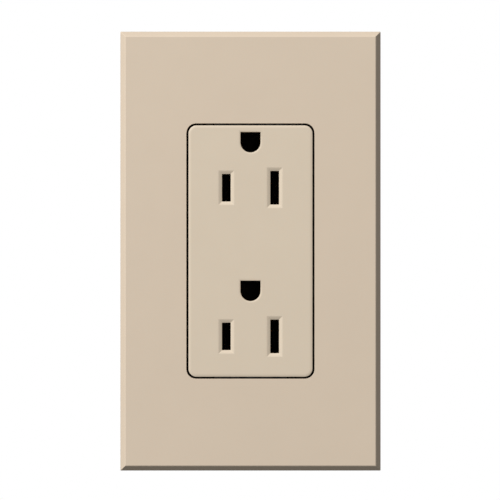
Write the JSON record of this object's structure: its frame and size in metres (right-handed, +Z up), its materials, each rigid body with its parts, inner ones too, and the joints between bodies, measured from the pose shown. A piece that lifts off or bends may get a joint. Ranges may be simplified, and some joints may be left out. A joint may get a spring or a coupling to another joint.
{
  "type": "duplex wall outlet",
  "caption": "Decorator duplex receptacle with ground holes up, on a steel strap behind a screwless push-on wall plate, with screw terminals and wire clamps.",
  "frame": {"origin": "on the wall plane, midway between the two mounting screws, at the middle of the wall plate", "axes": "+Z up along the strap, +Y into the wall, +X to the right as seen from the room; the front faces -Y"},
  "size_m": [0.0684, 0.0326, 0.1154],
  "materials": {
    "cover_plastic": "light taupe moulded plastic, fine matte grain",
    "face_plastic": "light taupe moulded plastic, smooth matte",
    "adapter_plastic": "light taupe moulded plastic, plain back-of-plate finish",
    "dark_plastic": "dark glass-filled moulding",
    "galvanised_steel": "zinc-galvanised sheet",
    "zinc_steel": "bright zinc plating",
    "brass": "stamped brass",
    "nickel": "nickel plating",
    "green_steel": "green dyed zinc plating",
    "fibre": "vulcanised fibre"
  },
  "bodies": {
    "device": {"receptacle_face": "face_plastic", "rear_body": "dark_plastic", "mounting_strap": "galvanised_steel", "hot_contact": "brass", "neutral_contact": "brass", "ground_contact_upper": "brass", "ground_contact_lower": "brass", "ground_rivet_upper": "zinc_steel", "ground_rivet_lower": "zinc_steel", "assembly_screw_hot_upper": "zinc_steel", "assembly_screw_hot_lower": "zinc_steel", "assembly_screw_neutral_upper": "zinc_steel", "assembly_screw_neutral_lower": "zinc_steel"},
    "adapter": {"adapter_plate": "adapter_plastic"},
    "adapter_screw_top": {"adapter_screw_top": "zinc_steel"},
    "adapter_screw_bottom": {"adapter_screw_bottom": "zinc_steel"},
    "cover": {"cover_plate": "cover_plastic"},
    "mounting_washer_top": {"mounting_washer_top": "fibre"},
    "mounting_screw_top": {"mounting_screw_top": "zinc_steel"},
    "mounting_washer_bottom": {"mounting_washer_bottom": "fibre"},
    "mounting_screw_bottom": {"mounting_screw_bottom": "zinc_steel"},
    "hot_clamp_upper": {"hot_clamp_plate_upper": "zinc_steel"},
    "hot_screw_upper": {"hot_terminal_screw_upper": "brass"},
    "hot_clamp_lower": {"hot_clamp_plate_lower": "zinc_steel"},
    "hot_screw_lower": {"hot_terminal_screw_lower": "brass"},
    "neutral_clamp_upper": {"neutral_clamp_plate_upper": "zinc_steel"},
    "neutral_screw_upper": {"neutral_terminal_screw_upper": "nickel"},
    "neutral_clamp_lower": {"neutral_clamp_plate_lower": "zinc_steel"},
    "neutral_screw_lower": {"neutral_terminal_screw_lower": "nickel"},
    "ground_clamp": {"ground_clamp_plate": "zinc_steel"},
    "ground_screw": {"ground_screw": "green_steel"}
  },
  "joints": [
    {"name": "adapter_lift", "type": "slide", "parent": "device", "child": "adapter", "axis": [0, -1, 0], "range_m": [0, 0.01032]},
    {"name": "adapter_screw_top_turn", "type": "hinge", "parent": "adapter", "child": "adapter_screw_top", "pos_m": [0, -0.0033, 0.04842], "axis": [0, -1, 0], "range_deg": [0, 4680]},
    {"name": "adapter_screw_bottom_turn", "type": "hinge", "parent": "adapter", "child": "adapter_screw_bottom", "pos_m": [0, -0.0033, -0.04842], "axis": [0, -1, 0], "range_deg": [0, 4680]},
    {"name": "cover_pull", "type": "slide", "parent": "adapter", "child": "cover", "axis": [0, -1, 0], "range_m": [0, 0.03]},
    {"name": "mounting_screw_top_travel", "type": "slide", "parent": "device", "child": "mounting_washer_top", "axis": [0, -1, 0], "range_m": [0, 0.00238]},
    {"name": "mounting_screw_top_turn", "type": "hinge", "parent": "mounting_washer_top", "child": "mounting_screw_top", "pos_m": [0, -0.0013, 0.04167], "axis": [0, -1, 0], "range_deg": [0, 1080]},
    {"name": "mounting_screw_bottom_travel", "type": "slide", "parent": "device", "child": "mounting_washer_bottom", "axis": [0, -1, 0], "range_m": [0, 0.00238]},
    {"name": "mounting_screw_bottom_turn", "type": "hinge", "parent": "mounting_washer_bottom", "child": "mounting_screw_bottom", "pos_m": [0, -0.0013, -0.04167], "axis": [0, -1, 0], "range_deg": [0, 1080]},
    {"name": "hot_clamp_upper_travel", "type": "slide", "parent": "device", "child": "hot_clamp_upper", "axis": [-1, 0, 0], "range_m": [0, 0.00317]},
    {"name": "hot_screw_upper_turn", "type": "hinge", "parent": "hot_clamp_upper", "child": "hot_screw_upper", "pos_m": [-0.0141, 0.0087, 0.0126], "axis": [-1, 0, 0], "range_deg": [0, 1440]},
    {"name": "hot_clamp_lower_travel", "type": "slide", "parent": "device", "child": "hot_clamp_lower", "axis": [-1, 0, 0], "range_m": [0, 0.00317]},
    {"name": "hot_screw_lower_turn", "type": "hinge", "parent": "hot_clamp_lower", "child": "hot_screw_lower", "pos_m": [-0.0141, 0.0087, -0.0126], "axis": [-1, 0, 0], "range_deg": [0, 1440]},
    {"name": "neutral_clamp_upper_travel", "type": "slide", "parent": "device", "child": "neutral_clamp_upper", "axis": [1, 0, 0], "range_m": [0, 0.00317]},
    {"name": "neutral_screw_upper_turn", "type": "hinge", "parent": "neutral_clamp_upper", "child": "neutral_screw_upper", "pos_m": [0.0141, 0.0087, 0.0126], "axis": [1, 0, 0], "range_deg": [0, 1440]},
    {"name": "neutral_clamp_lower_travel", "type": "slide", "parent": "device", "child": "neutral_clamp_lower", "axis": [1, 0, 0], "range_m": [0, 0.00317]},
    {"name": "neutral_screw_lower_turn", "type": "hinge", "parent": "neutral_clamp_lower", "child": "neutral_screw_lower", "pos_m": [0.0141, 0.0087, -0.0126], "axis": [1, 0, 0], "range_deg": [0, 1440]},
    {"name": "ground_clamp_travel", "type": "slide", "parent": "device", "child": "ground_clamp", "axis": [1, 0, 0], "range_m": [0, 0.00317]},
    {"name": "ground_screw_turn", "type": "hinge", "parent": "ground_clamp", "child": "ground_screw", "pos_m": [0.0154, 0.007, 0.0346], "axis": [1, 0, 0], "range_deg": [0, 1440]}
  ],
  "couplings": [
    {"joint": "adapter_screw_top_turn", "follows": "adapter_lift", "rad_per_m": 7915.8},
    {"joint": "adapter_screw_bottom_turn", "follows": "adapter_lift", "rad_per_m": 7915.8},
    {"joint": "mounting_screw_top_turn", "follows": "mounting_screw_top_travel", "rad_per_m": 7915.8},
    {"joint": "mounting_screw_bottom_turn", "follows": "mounting_screw_bottom_travel", "rad_per_m": 7915.8},
    {"joint": "hot_screw_upper_turn", "follows": "hot_clamp_upper_travel", "rad_per_m": 7915.8},
    {"joint": "hot_screw_lower_turn", "follows": "hot_clamp_lower_travel", "rad_per_m": 7915.8},
    {"joint": "neutral_screw_upper_turn", "follows": "neutral_clamp_upper_travel", "rad_per_m": 7915.8},
    {"joint": "neutral_screw_lower_turn", "follows": "neutral_clamp_lower_travel", "rad_per_m": 7915.8},
    {"joint": "ground_screw_turn", "follows": "ground_clamp_travel", "rad_per_m": 7915.8}
  ]
}
